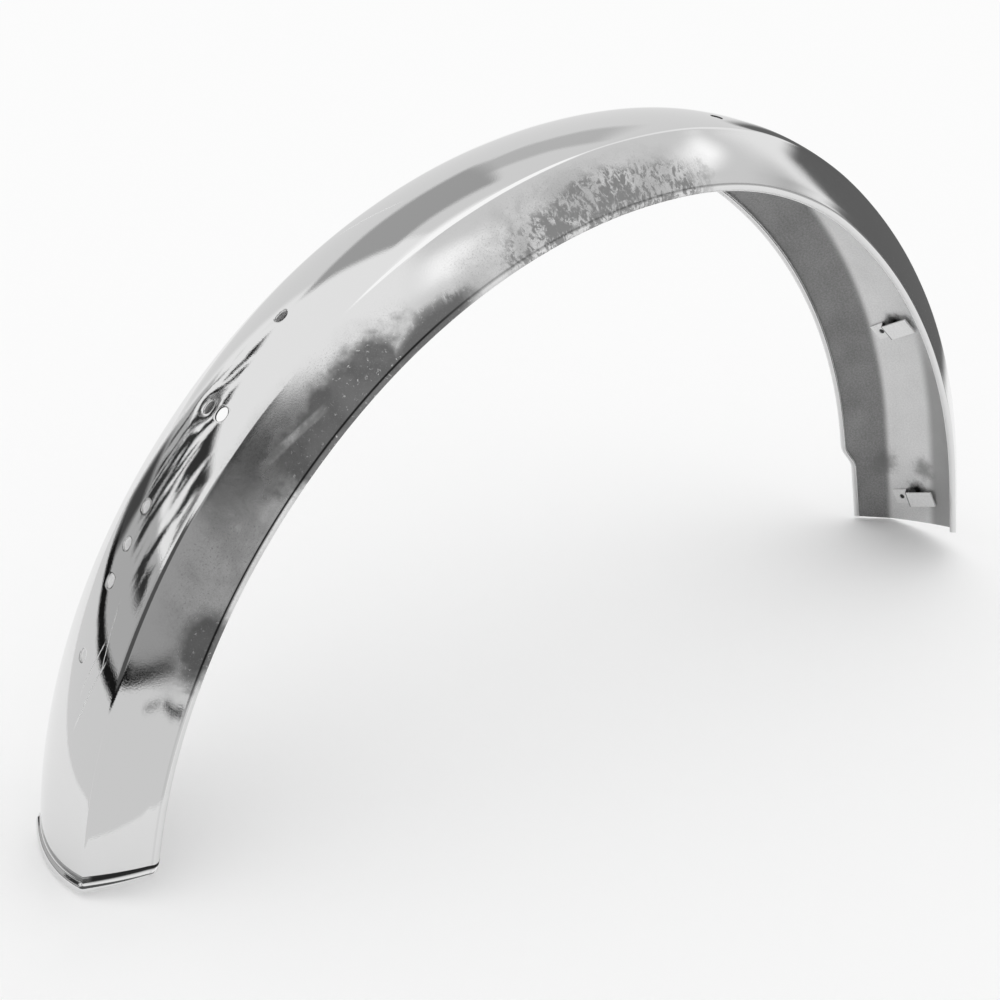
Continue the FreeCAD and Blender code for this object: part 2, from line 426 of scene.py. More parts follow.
def make_shell():
    maker = MeshMaker()
    crown = crown_columns()
    bend = [CROWN_EDGE + (WALL_TOP - CROWN_EDGE) * k / BEND_COUNT for k in range(1, BEND_COUNT + 1)]
    rows = shell_rows()

    def columns(cut, inner):
        reach = wall_reach(cut)
        if inner:
            reach -= math.sqrt(BEAD_RADIUS ** 2 - (BEAD_RADIUS - SHEET) ** 2)
        wall = [WALL_TOP + reach * k / WALL_COUNT for k in range(1, WALL_COUNT + 1)]
        side = bend + wall
        return [-w for w in reversed(side)] + crown + side

    def ring(station, share=None):
        """One loop round the sheet: outer face, right bead, inner face, left bead."""
        cut = step_cut(station)
        swell = lip_swell(station)

        def put(point, across):
            s = station if share is None else front_station(point, share)
            return maker.vertex(place(s, point), s, across)

        def run(inner):
            row = []
            for w in columns(cut, inner):
                depth = SHEET if inner else 0.0
                if share is None:
                    row.append(maker.vertex(sheet_point(station, w, depth), station, w))
                else:
                    point, normal = section_point(w, depth, swell)
                    row.append(put(point, w))
            return row

        def bead(side):
            edge = WALL_TOP + wall_reach(cut)
            return [put(bead_point(side, k / BEAD_COUNT, swell, cut), side * (edge + BEAD_ACROSS_STEP * k))
                    for k in range(1, BEAD_COUNT)]

        return run(False), run(True), bead(-1.0), bead(1.0)

    rings = [ring(STEP_END, k / FRONT_ROWS) for k in range(FRONT_ROWS + 1)]
    first_row = len(rings)
    rings += [ring(s) for s in rows]
    left = len(bend) + WALL_COUNT

    def in_hole(row, column):
        s0, s1 = rows[row], rows[row + 1]
        w0, w1 = crown[column], crown[column + 1]
        for station, offset, radius in HOLES:
            if abs((s0 + s1) / 2 - station) < HOLE_BLOCK and abs((w0 + w1) / 2 - offset) < HOLE_BLOCK:
                return True
        return False

    for k in range(len(rings) - 1):
        outer, inner, near, far = rings[k]
        outer2, inner2, near2, far2 = rings[k + 1]
        for c in range(len(outer) - 1):
            column = c - left
            on_crown = 0 <= column < len(crown) - 1
            if on_crown and k >= first_row and in_hole(k - first_row, column):
                continue
            maker.face((outer[c], outer2[c], outer2[c + 1], outer[c + 1]), OUTSIDE)
            maker.face((inner[c], inner[c + 1], inner2[c + 1], inner2[c]), INSIDE)
        right = [outer[-1]] + far + [inner[-1]]
        right2 = [outer2[-1]] + far2 + [inner2[-1]]
        maker.strip(right2, right, OUTSIDE)
        left_loop = [outer[0]] + near + [inner[0]]
        left_loop2 = [outer2[0]] + near2 + [inner2[0]]
        maker.strip(left_loop, left_loop2, OUTSIDE)

    for number, flip in ((0, False), (len(rings) - 1, True)):
        outer, inner, near, far = rings[number]
        for c in range(len(outer) - 1):
            corners = (outer[c], outer[c + 1], inner[c + 1], inner[c])
            maker.face(corners[::-1] if flip else corners, OUTSIDE)
        far_end = [outer[-1]] + far + [inner[-1]]
        near_end = [outer[0]] + near + [inner[0]]
        for loop, turned in ((far_end, flip), (near_end, not flip)):
            maker.face(tuple(loop[::-1] if turned else loop), OUTSIDE)

    for station, offset, radius in HOLES:
        add_hole(maker, rings, rows, crown, first_row, left, (station, offset, radius))
    return maker


def add_hole(maker, rings, rows, crown, first_row, left, hole):
    """Rings of faces from a square of the grid to the round edge of a hole, through the sheet."""
    station, offset, radius = hole
    reach = HOLE_BLOCK + GRID_SLACK
    r = [k for k, s in enumerate(rows) if abs(s - station) <= reach]
    c = [k for k, w in enumerate(crown) if abs(w - offset) <= reach]
    loop = [(r[0], k) for k in c] + [(k, c[-1]) for k in r[1:]]
    loop += [(r[-1], k) for k in reversed(c[:-1])] + [(k, c[0]) for k in reversed(r[1:-1])]

    def layer(number):
        return [rings[first_row + row][number][left + column] for row, column in loop]

    def circle(size, depth):
        made = []
        for row, column in loop:
            angle = math.atan2(crown[column] - offset, rows[row] - station)
            s = station + size * math.cos(angle)
            w = offset + size * math.sin(angle)
            made.append(maker.vertex(sheet_point(s, w, depth), s, w))
        return made

    def between(share, depth):
        made = []
        for row, column in loop:
            angle = math.atan2(crown[column] - offset, rows[row] - station)
            size = radius + HOLE_EDGE
            s = rows[row] + (station + size * math.cos(angle) - rows[row]) * share
            w = crown[column] + (offset + size * math.sin(angle) - crown[column]) * share
            made.append(maker.vertex(sheet_point(s, w, depth), s, w))
        return made

    turn = HOLE_EDGE * HOLE_EDGE_TURN
    top = [layer(0)] + [between(share, 0.0) for share in HOLE_OUTER_RINGS]
    top += [circle(radius + HOLE_EDGE, 0.0), circle(radius + turn, turn), circle(radius, HOLE_EDGE)]
    bottom = [circle(radius, SHEET - HOLE_EDGE), circle(radius + turn, SHEET - turn),
              circle(radius + HOLE_EDGE, SHEET), between(HOLE_INNER_RING, SHEET), layer(1)]
    rows_of_loops = top + bottom
    for k in range(len(rows_of_loops) - 1):
        finish = OUTSIDE if k < len(top) else INSIDE
        maker.strip(rows_of_loops[k], rows_of_loops[k + 1], finish, closed=True)


def build_shell():
    maker = make_shell()
    low = [min(p[k] for p in maker.points) for k in range(3)]
    high = [max(p[k] for p in maker.points) for k in range(3)]
    shift = Vector((-(low[0] + high[0]) / 2, 0, cad_high.z / MM - high[2]))
    mesh = bpy.data.meshes.new("mudguard")
    mesh.from_pydata([(p + shift) * MM for p in maker.points], [], maker.faces)
    for name, values in (("station", maker.stations), ("across", maker.across)):
        attribute = mesh.attributes.new(name, "FLOAT", "POINT")
        attribute.data.foreach_set("value", values)
    mesh.polygons.foreach_set("material_index", maker.finish)
    mesh.polygons.foreach_set("use_smooth", [True] * len(mesh.polygons))
    drop_loose(mesh)
    mesh.set_sharp_from_angle(angle=math.radians(SHARP_ANGLE))
    mesh.update()
    piece = bpy.data.objects.new("mudguard", mesh)
    bpy.context.scene.collection.objects.link(piece)
    welds = []
    for station, offset, skew in CLIP_WELDS:
        turn = math.radians(skew)
        weld = sheet_point(station, offset, CLIP_TOP)
        ahead = sheet_point(station + math.sin(turn), offset - math.cos(turn), CLIP_TOP)
        welds.append(((weld + shift) * MM, (ahead - weld).normalized()))
    return piece, welds


def drop_loose(mesh):
    bm = bmesh.new()
    bm.from_mesh(mesh)
    loose = [v for v in bm.verts if not v.link_faces]
    bmesh.ops.delete(bm, geom=loose, context="VERTS")
    bmesh.ops.recalc_face_normals(bm, faces=bm.faces)
    bm.to_mesh(mesh)
    bm.free()


class Nodes:
    """Short calls for building a material's nodes."""

    def __init__(self, name):
        self.material = bpy.data.materials.new(name)
        self.material.use_nodes = True
        self.tree = self.material.node_tree
        self.tree.nodes.clear()
        self.output = self.tree.nodes.new("ShaderNodeOutputMaterial")

    def add(self, kind, **settings):
        node = self.tree.nodes.new(kind)
        for key, value in settings.items():
            setattr(node, key, value)
        return node

    def link(self, source, target):
        self.tree.links.new(source, target)

    def feed(self, socket, value):
        if isinstance(value, bpy.types.NodeSocket):
            self.link(value, socket)
        else:
            socket.default_value = value

    def math(self, operation, first, second=0.0, clamp=False):
        node = self.add("ShaderNodeMath", operation=operation, use_clamp=clamp)
        self.feed(node.inputs[0], first)
        self.feed(node.inputs[1], second)
        return node.outputs[0]

    def mix(self, share, first, second):
        """Blend of two numbers."""
        node = self.add("ShaderNodeMix", data_type="FLOAT")
        self.feed(node.inputs[0], share)
        self.feed(node.inputs[2], first)
        self.feed(node.inputs[3], second)
        return node.outputs[0]

    def mix_colour(self, share, first, second):
        node = self.add("ShaderNodeMix", data_type="RGBA")
        self.feed(node.inputs[0], share)
        self.feed(node.inputs[6], first)
        self.feed(node.inputs[7], second)
        return node.outputs[2]

    def attribute(self, name):
        return self.add("ShaderNodeAttribute", attribute_name=name).outputs["Fac"]

    def vector(self, x, y, z=0.0):
        node = self.add("ShaderNodeCombineXYZ")
        for socket, value in zip(node.inputs, (x, y, z)):
            self.feed(socket, value)
        return node.outputs[0]

    def noise(self, vector, scale, detail=3.0, roughness=0.5, distortion=0.0):
        node = self.add("ShaderNodeTexNoise")
        self.link(vector, node.inputs["Vector"])
        node.inputs["Scale"].default_value = scale
        node.inputs["Detail"].default_value = detail
        node.inputs["Roughness"].default_value = roughness
        node.inputs["Distortion"].default_value = distortion
        return node.outputs["Fac"]

    def ramp(self, value, low, high):
        """Smooth step from 0 at low to 1 at high."""
        node = self.add("ShaderNodeMapRange", interpolation_type="SMOOTHSTEP")
        self.feed(node.inputs["Value"], value)
        node.inputs["From Min"].default_value = low
        node.inputs["From Max"].default_value = high
        return node.outputs["Result"]

    def distance(self, vector, point):
        node = self.add("ShaderNodeVectorMath", operation="DISTANCE")
        self.link(vector, node.inputs[0])
        node.inputs[1].default_value = point
        return node.outputs["Value"]

    def along(self, vector, start, direction):
        """Distance from a point in one direction."""
        node = self.add("ShaderNodeVectorMath", operation="SUBTRACT")
        self.link(vector, node.inputs[0])
        node.inputs[1].default_value = start
        dot = self.add("ShaderNodeVectorMath", operation="DOT_PRODUCT")
        self.link(node.outputs[0], dot.inputs[0])
        dot.inputs[1].default_value = direction
        return dot.outputs["Value"]

    def bump(self, height, strength, distance, below=None):
        node = self.add("ShaderNodeBump")
        node.inputs["Strength"].default_value = strength
        node.inputs["Distance"].default_value = distance
        self.link(height, node.inputs["Height"])
        if below is not None:
            self.link(below, node.inputs["Normal"])
        return node.outputs["Normal"]


def grey(value):
    return (value, value, value, 1.0)


# Worn places on the plating: centre and reach as station and distance across, raggedness and softness
HAZE_PATCHES = (
    ((690.0, -46.0), (82.0, 17.0), 0.35, 0.35),
    ((505.0, -48.0), (70.0, 16.0), 0.35, 0.35),
)
FLAKE_PATCHES = (
    ((490.0, -53.0), (58.0, 15.0), 0.5, 0.2),
    ((592.0, -54.0), (15.0, 7.0), 0.5, 0.3),
)
DULL_PATCHES = (
    ((652.0, -53.0), (44.0, 15.0), 0.7, 0.25),
    ((768.0, -54.0), (16.0, 9.0), 0.8, 0.4),
    ((600.0, -56.0), (30.0, 6.0), 0.6, 0.4),
)

# Thin marks: start, end and width
SCRATCHES = (
    ((788.0, -18.0), (828.0, -8.0), 0.5),
    ((782.0, -13.0), (812.0, -7.0), 0.4),
    ((764.0, -12.0), (800.0, -17.0), 0.35),
    ((560.0, 4.0), (592.0, 22.0), 0.4),
)
RUBBED_STREAK = ((652.0, -47.0), (694.0, -40.0), 2.2)
MARK_WANDER = 3.0
MARK_START = 0.2
MARK_END = 0.7
MARK_CORE = 0.4

# Flakes: how much they are drawn out, and where their pattern turns bare
FLAKE_ALONG = 0.4
FLAKE_ACROSS = 0.27
FEATHER_SHARE = 0.62
ISLAND_SHARE = 0.38
FLAKE_START = 0.455
FLAKE_FULL = 0.53

# Flecks, specks and film: where their noise starts and is full, and their shares
FLECK_START = 0.6
FLECK_FULL = 0.66
FLECK_SHARE = 0.8
SPECK_START = 0.54
SPECK_FULL = 0.7
SPECK_SHARE = 0.55
FILM_START = 0.62
FILM_FULL = 0.38
FILM_SHARE = 0.35
RUBBED_START = 0.3
RUBBED_FULL = 0.6

# Painted shade: a painted dark reflection along the bead, painted shade in the tail's groove and in the
# cable holes
# Stations, widths and strengths of the painted dark reflection on the wall beside the bead
BEAD_REFLECTION_FIRST = 585.0
BEAD_REFLECTION_LAST = 790.0
BEAD_REFLECTION_FADE = 20.0
BEAD_REFLECTION_THINS = 560.0
BEAD_REFLECTION_THIN = 800.0
EDGE_LINE_INNER = 1.0
EDGE_LINE_OUTER = 0.15
EDGE_LINE_SOFT = 0.25
BEAD_REFLECTION_FRONT = 0.45
BEAD_REFLECTION_TAIL = 0.1
BEAD_REFLECTION_START = 15.0
# Painted shade in the tail's groove: its share on the crown, where its line and band start and end, and
# softness
GROOVE_CROWN_SHARE = 0.55
GROOVE_LINE_START = 1.0
GROOVE_LINE_END = 0.5
GROOVE_WALL_START = 0.5
GROOVE_SOFT = 0.4
# Painted shade in the cable holes: reach past the hole's edge and softness
CABLE_EDGE = 0.1
CABLE_SOFT = 0.02

# Stations between which the walls become mirror-bright towards the tail
BRIGHT_START = 787.0
BRIGHT_FULL = 799.0

# Blend from the crown's finish to the walls'
WALL_BLEND = 3.0
INSIDE_BLEND = 2.0

# Tones and roughness of the plating
PLATE_TONE = 0.74
FLAKE_TONE = 0.29
DULL_TONE = 0.16
SPECK_TONE = 0.25
FILM_TONE = 0.3
SCRATCH_TONE = 0.95
PAINTED_SHADE_TONE = 0.01
PAINTED_SHADE_SHARE = 0.95
CLEAN_ROUGH = 0.02
WALL_ROUGH_LOW = 0.05
WALL_ROUGH_HIGH = 0.13
HAZE_ROUGH = 0.1
HAZE_ROUGH_GRAIN = 0.2
WORN_ROUGH = 0.38
MARK_ROUGH = 0.5
RUBBED_ROUGH = 0.35


def plating_material():
    """Worn bright plating: haze on the walls, flaked patches, flecks and fine scratches, with a painted
    dark reflection along the bead and painted shade in the tail's groove and in the cable holes.
    """
    n = Nodes("worn_plating_and_shade")
    station = n.attribute("station")
    across = n.attribute("across")
    sheet = n.vector(station, across)
    grain = n.noise(sheet, scale=1.2, detail=2.0, roughness=0.8)
    cloud = n.noise(sheet, scale=0.045, detail=4.0, roughness=0.62, distortion=0.4)
    uneven = n.math("SUBTRACT", n.noise(sheet, scale=0.06, detail=5.0, roughness=0.6), 0.5)

    def patch(centre, reach, ragged, soft):
        """Soft-edged area round a place on the sheet, with a ragged outline."""
        along_share = n.math("DIVIDE", n.math("SUBTRACT", station, centre[0]), reach[0])
        across_share = n.math("DIVIDE", n.math("SUBTRACT", across, centre[1]), reach[1])
        squares = n.math("ADD", n.math("POWER", n.math("ABSOLUTE", along_share), 2.0),
                         n.math("POWER", n.math("ABSOLUTE", across_share), 2.0))
        far = n.math("SQRT", squares)
        edge = n.math("MULTIPLY", uneven, ragged * 2)
        return n.ramp(n.math("ADD", far, edge), 1.0 + soft, 1.0 - soft)

    def line(start, end, width):
        """Thin straight mark between two places on the sheet."""
        run = math.hypot(end[0] - start[0], end[1] - start[1])
        cosine = (end[0] - start[0]) / run
        sine = (end[1] - start[1]) / run
        x = n.math("SUBTRACT", station, start[0])
        y = n.math("SUBTRACT", across, start[1])
        forward = n.math("ADD", n.math("MULTIPLY", x, cosine), n.math("MULTIPLY", y, sine))
        aside = n.math("SUBTRACT", n.math("MULTIPLY", y, cosine), n.math("MULTIPLY", x, sine))
        aside = n.math("ABSOLUTE", n.math("ADD", aside, n.math("MULTIPLY", uneven, MARK_WANDER)))
        started = n.ramp(forward, 0.0, run * MARK_START)
        inside = n.math("MULTIPLY", started, n.ramp(forward, run, run * MARK_END))
        return n.math("MULTIPLY", inside, n.ramp(aside, width, width * MARK_CORE))

    def either(*shares):
        total = shares[0]
        for share in shares[1:]:
            total = n.math("MAXIMUM", total, share)
        return total

    def band(value, low, high, soft):
        rise = n.ramp(value, low - soft, low + soft)
        fall = n.ramp(value, high + soft, high - soft)
        return n.math("MULTIPLY", rise, fall)

    def without(share):
        return n.math("SUBTRACT", 1.0, share)

    off_centre = n.math("ABSOLUTE", across)
    wall = n.ramp(off_centre, CROWN_EDGE, WALL_TOP + WALL_BLEND)
    haze = either(*[patch(*place_on_sheet) for place_on_sheet in HAZE_PATCHES])

    flake_area = either(*[patch(*place_on_sheet) for place_on_sheet in FLAKE_PATCHES])
    drawn_out = n.vector(n.math("MULTIPLY", station, FLAKE_ALONG), n.math("MULTIPLY", across, FLAKE_ACROSS))
    feather = n.noise(drawn_out, scale=1.0, detail=6.0, roughness=0.72, distortion=0.8)
    islands = n.noise(sheet, scale=0.07, detail=3.0, roughness=0.6)
    flake_pattern = n.math("ADD", n.math("MULTIPLY", feather, FEATHER_SHARE),
                           n.math("MULTIPLY", islands, ISLAND_SHARE))
    worn = n.math("MULTIPLY", flake_area, n.ramp(flake_pattern, FLAKE_START, FLAKE_FULL))

    dull_area = either(*[patch(*place_on_sheet) for place_on_sheet in DULL_PATCHES])
    flecks = n.ramp(n.noise(sheet, scale=0.5, detail=4.0, roughness=0.75), FLECK_START, FLECK_FULL)
    dulled = n.math("MULTIPLY", dull_area, without(n.math("MULTIPLY", flecks, FLECK_SHARE)))

    # Painted dark reflection: a dark line on the wall just short of the bead, strongest between the first
    # and last stations
    edge = WALL_TOP + wall_reach(0.0)
    thinner = n.mix(n.ramp(station, BEAD_REFLECTION_THINS, BEAD_REFLECTION_THIN), BEAD_REFLECTION_FRONT, BEAD_REFLECTION_TAIL)
    bead_reflection_share = n.mix(band(station, BEAD_REFLECTION_FIRST, BEAD_REFLECTION_LAST, BEAD_REFLECTION_FADE), thinner, 1.0)
    bead_reflection_share = n.math("MULTIPLY", bead_reflection_share, n.ramp(station, FRONT_RUN, FRONT_RUN + BEAD_REFLECTION_START))
    by_bead = band(off_centre, edge - EDGE_LINE_INNER, edge - EDGE_LINE_OUTER, EDGE_LINE_SOFT)
    bead_reflection_line = n.math("MULTIPLY", by_bead, bead_reflection_share)
    # Painted shade in the tail's groove: a narrow line on the crown and a wider band on the walls
    groove_start = LENGTH - LIP_WIDTH - GROOVE_WIDTH
    groove_end = groove_start + GROOVE_WIDTH
    groove_shade_line = band(station, groove_start + GROOVE_LINE_START, groove_end - GROOVE_LINE_END, GROOVE_SOFT)
    groove_shade_wide = band(station, groove_start + GROOVE_WALL_START, groove_end, GROOVE_SOFT)
    on_crown = n.math("MULTIPLY", groove_shade_line, GROOVE_CROWN_SHARE)
    groove = either(on_crown, n.math("MULTIPLY", groove_shade_wide, wall))
    # Painted shade: the rims and walls of the two cable holes are darkened
    cable_hole_shade = []
    for station_at, offset, radius in HOLES[-2:]:
        reach = radius + CABLE_EDGE
        cable_hole_shade.append(patch((station_at, offset), (reach, reach), 0.0, CABLE_SOFT))
    # Painted shade: the bead's dark reflection line, the groove's shade and the dark cable holes together
    painted_shade = either(bead_reflection_line, groove, *cable_hole_shade)
    scratch = either(*[line(*mark) for mark in SCRATCHES])

    rubbed = n.math("MULTIPLY", line(*RUBBED_STREAK), n.ramp(cloud, RUBBED_START, RUBBED_FULL))
    dulled = n.math("MULTIPLY", dulled, without(rubbed))

    rubbed_wall = n.math("MULTIPLY", wall, without(n.ramp(station, BRIGHT_START, BRIGHT_FULL)))
    rough = n.mix(rubbed_wall, CLEAN_ROUGH, n.mix(cloud, WALL_ROUGH_LOW, WALL_ROUGH_HIGH))
    rough = n.mix(haze, rough, n.math("ADD", n.math("MULTIPLY", grain, HAZE_ROUGH_GRAIN), HAZE_ROUGH))
    rough = n.mix(either(worn, dulled), rough, WORN_ROUGH)
    rough = n.mix(either(scratch, painted_shade), rough, MARK_ROUGH)
    rough = n.mix(rubbed, rough, RUBBED_ROUGH)

    shader = n.add("ShaderNodeBsdfPrincipled")
    shader.inputs["Metallic"].default_value = 1.0
    colour = n.mix_colour(worn, grey(PLATE_TONE), grey(FLAKE_TONE))
    colour = n.mix_colour(dulled, colour, grey(DULL_TONE))
    speck = n.math("MULTIPLY", either(haze, dull_area), n.ramp(grain, SPECK_START, SPECK_FULL))
    colour = n.mix_colour(n.math("MULTIPLY", speck, SPECK_SHARE), colour, grey(SPECK_TONE))
    film = n.math("MULTIPLY", haze, n.ramp(cloud, FILM_START, FILM_FULL))
    colour = n.mix_colour(n.math("MULTIPLY", film, FILM_SHARE), colour, grey(FILM_TONE))
    colour = n.mix_colour(scratch, colour, grey(SCRATCH_TONE))
    # Painted shade laid over the plating's colour
    colour = n.mix_colour(n.math("MULTIPLY", painted_shade, PAINTED_SHADE_SHARE), colour, grey(PAINTED_SHADE_TONE))
    n.link(colour, shader.inputs["Base Color"])
    n.link(rough, shader.inputs["Roughness"])
    n.link(n.bump(grain, strength=0.05, distance=0.0002), shader.inputs["Normal"])
    n.link(shader.outputs[0], n.output.inputs["Surface"])
    return n.material


# Inside of the sheet: smudges as place and reach, tones, and where the painted shade on the walls and along
# the near edge changes tone
SMUDGES = (((42.0, 1.0), 9.0), ((40.0, 31.0), 11.0))
SMUDGE_AND_SHADE_TONE = 0.16
SMUDGE_SHARE = 0.7
SMUDGE_RAGGED = 1.2
SMUDGE_END = 1.9
SMUDGE_FULL = 0.7
CLOUD_SHARE = 0.6
GRAIN_SHARE = 0.4
CROWN_TONES = (0.62, 0.95)
SHADED_WALL_TONES = (0.1, 0.42)
DARK_WALLS_END = 690.0
PALE_WALLS_START = 720.0
SHADE_SHARE = 0.6
SHADE_START_ACROSS = -1.0
SHADE_FULL_ACROSS = -9.0
SHADE_FULL_STATION = 110.0
SHADE_END_STATION = 190.0
CLIP_SHADOW_TONE = 0.01
INSIDE_METAL = 0.75
INSIDE_ROUGH = (0.38, 0.55)


def inside_material():
    """Dull satin face under the crown, with painted shade on the walls and along the near edge, clouds,
    rubbed smudges and painted shadows under the clip tongues.
    """
    n = Nodes("satin_inside_and_shade")
    station = n.attribute("station")
    across = n.attribute("across")
    sheet = n.vector(station, across)
    cloud = n.noise(sheet, scale=0.03, detail=4.0, roughness=0.6)
    grain = n.ramp(n.noise(sheet, scale=0.8, detail=3.0, roughness=0.8), 0.3, 0.7)
    wall = n.ramp(n.math("ABSOLUTE", across), CROWN_EDGE - INSIDE_BLEND, WALL_TOP + INSIDE_BLEND)

    def smudge(centre, reach):
        along_share = n.math("DIVIDE", n.math("SUBTRACT", station, centre[0]), reach)
        across_share = n.math("DIVIDE", n.math("SUBTRACT", across, centre[1]), reach)
        squares = n.math("ADD", n.math("POWER", along_share, 2.0), n.math("POWER", across_share, 2.0))
        ragged = n.math("MULTIPLY", n.noise(sheet, scale=0.2, detail=4.0, roughness=0.6), SMUDGE_RAGGED)
        return n.ramp(n.math("ADD", n.math("SQRT", squares), ragged), SMUDGE_END, SMUDGE_FULL)

    mottled = n.math("ADD", n.math("MULTIPLY", cloud, CLOUD_SHARE), n.math("MULTIPLY", grain, GRAIN_SHARE))
    crown_tone = n.mix_colour(mottled, grey(CROWN_TONES[0]), grey(CROWN_TONES[1]))
    # Painted shade: the inside walls take darker tones than the crown, fading out towards the tail
    shaded_wall_tone = n.mix_colour(mottled, grey(SHADED_WALL_TONES[0]), grey(SHADED_WALL_TONES[1]))
    wall = n.math("MULTIPLY", wall, n.ramp(station, PALE_WALLS_START, DARK_WALLS_END))
    colour = n.mix_colour(wall, crown_tone, shaded_wall_tone)
    marks = n.math("MAXIMUM", *[smudge(centre, reach) for centre, reach in SMUDGES])
    colour = n.mix_colour(n.math("MULTIPLY", marks, SMUDGE_SHARE), colour, grey(SMUDGE_AND_SHADE_TONE))
    # Painted shade along the near edge of the crown's inside, towards the front end, in the smudges' tone
    near_edge = n.ramp(across, SHADE_START_ACROSS, SHADE_FULL_ACROSS)
    shaded = n.math("MULTIPLY", near_edge, n.ramp(station, SHADE_END_STATION, SHADE_FULL_STATION))
    colour = n.mix_colour(n.math("MULTIPLY", shaded, SHADE_SHARE), colour, grey(SMUDGE_AND_SHADE_TONE))
    # Painted shadow on the sheet under each clip's tongue
    clip_shadows = []
    for station_at, offset, skew in CLIP_WELDS:
        clip_shadows.append(smudge((station_at + CLIP_SHADOW_ALONG, offset - CLIP_SHADOW_ACROSS), CLIP_SHADOW_REACH))
    colour = n.mix_colour(n.math("MAXIMUM", *clip_shadows), colour, grey(CLIP_SHADOW_TONE))
    shader = n.add("ShaderNodeBsdfPrincipled")
    shader.inputs["Metallic"].default_value = INSIDE_METAL
    n.link(colour, shader.inputs["Base Color"])
    n.link(n.mix(grain, *INSIDE_ROUGH), shader.inputs["Roughness"])
    n.link(n.bump(grain, strength=0.15, distance=0.0002), shader.inputs["Normal"])
    n.link(shader.outputs[0], n.output.inputs["Surface"])
    return n.material


# Strip steel of the clips, with painted shadow on the riser
STRIP_TONES = (0.72, 0.98)
WELD_TONE = 0.03
RISER_SHADOW_TONE = 0.04
RISER_SHADOW_SHARE = 0.9
RISER_START_SOFT = 0.3
RISER_END_SOFT = 0.5
WELD_OUTER = 1.15
WELD_INNER = 0.8
CLIP_REACH_CORE = 0.9
STRIP_METAL = 0.6
STRIP_ROUGH = (0.3, 0.45)
CLIP_EDGE = 0.15


def clip_material(welds):
    """Bright strip steel with fine grain, a dark spot at each weld and painted shadow on the riser between
    pad and tongue.
    """
    n = Nodes("clip_strip")
    position = n.add("ShaderNodeTexCoord").outputs["Object"]
    grain = n.noise(position, scale=900.0, detail=3.0, roughness=0.6)
    colour = n.mix_colour(grain, grey(STRIP_TONES[0]), grey(STRIP_TONES[1]))
    far = [n.distance(position, weld) for weld, ahead in welds]
    # Darkened spot round each weld
    weld_spot = n.ramp(n.math("MINIMUM", *far), WELD_RADIUS * MM * WELD_OUTER, WELD_RADIUS * MM * WELD_INNER)
    colour = n.mix_colour(weld_spot, colour, grey(WELD_TONE))
    # Painted shadow: a dark band across the clip where the riser between pad and tongue stands
    riser_shadows = []
    for (weld, ahead), away in zip(welds, far):
        run = n.along(position, weld, ahead)
        rise = n.ramp(run, (RISER_START - RISER_START_SOFT) * MM, (RISER_START + RISER_START_SOFT) * MM)
        fall = n.ramp(run, (RISER_END + RISER_END_SOFT) * MM, (RISER_END - RISER_END_SOFT) * MM)
        here = n.ramp(away, CLIP_REACH * MM, CLIP_REACH * MM * CLIP_REACH_CORE)
        riser_shadows.append(n.math("MULTIPLY", here, n.math("MULTIPLY", rise, fall)))
    dark = n.math("MULTIPLY", n.math("MAXIMUM", *riser_shadows), RISER_SHADOW_SHARE)
    colour = n.mix_colour(dark, colour, grey(RISER_SHADOW_TONE))
    shader = n.add("ShaderNodeBsdfPrincipled")
    shader.inputs["Metallic"].default_value = STRIP_METAL
    n.link(colour, shader.inputs["Base Color"])
    n.link(n.mix(grain, *STRIP_ROUGH), shader.inputs["Roughness"])
    n.link(n.bump(grain, strength=0.1, distance=0.0001), shader.inputs["Normal"])
    n.link(shader.outputs[0], n.output.inputs["Surface"])
    return n.material


def dress_clip(name, material):
    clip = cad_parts[name]
    clip.data.materials.clear()
    clip.data.materials.append(material)
    bevel = clip.modifiers.new("softened_edges", "BEVEL")
    bevel.width = CLIP_EDGE * MM
    bevel.segments = 2
    bevel.limit_method = "ANGLE"


def oblong(low, high):
    return (low[0], low[1]), (high[0], low[1]), (high[0], high[1]), (low[0], high[1])


# Studio floor, in metres
FLOOR_HALF = 6.0
FLOOR_DROP = 0.0005
FLOOR_TONE = 0.97


def add_floor():
    n = Nodes("pale_floor")
    shader = n.add("ShaderNodeBsdfDiffuse")
    shader.inputs["Color"].default_value = grey(FLOOR_TONE)
    n.link(shader.outputs[0], n.output.inputs["Surface"])
    mesh = bpy.data.meshes.new("floor")
    corners = oblong((-FLOOR_HALF, -FLOOR_HALF), (FLOOR_HALF, FLOOR_HALF))
    mesh.from_pydata([(x, y, 0) for x, y in corners], [], [(0, 1, 2, 3)])
    mesh.materials.append(n.material)
    floor = bpy.data.objects.new("floor", mesh)
    floor.location.z = -FLOOR_DROP
    bpy.context.scene.collection.objects.link(floor)


# Points on the object from which the studio screens are set out, in metres, and the screens' own values
TAIL_EYE = Vector((-0.26, 0.0, 0.14))
TOP_EYE = Vector((-0.05, 0.0, 0.28))
FRONT_EYE = Vector((0.27, 0.0, 0.17))
SCREEN_STEP = 3.0
STREAK_SPREAD = 1.6
STREAK_START = 0.51
STREAK_FULL = 0.525
TABLE_TONE = 0.77
TABLE_SOFT = 0.004


def direction_at(azimuth, elevation):
    turn = math.radians(azimuth)
    rise = math.radians(elevation)
    return Vector((math.cos(turn) * math.cos(rise), math.sin(turn) * math.cos(rise), math.sin(rise)))


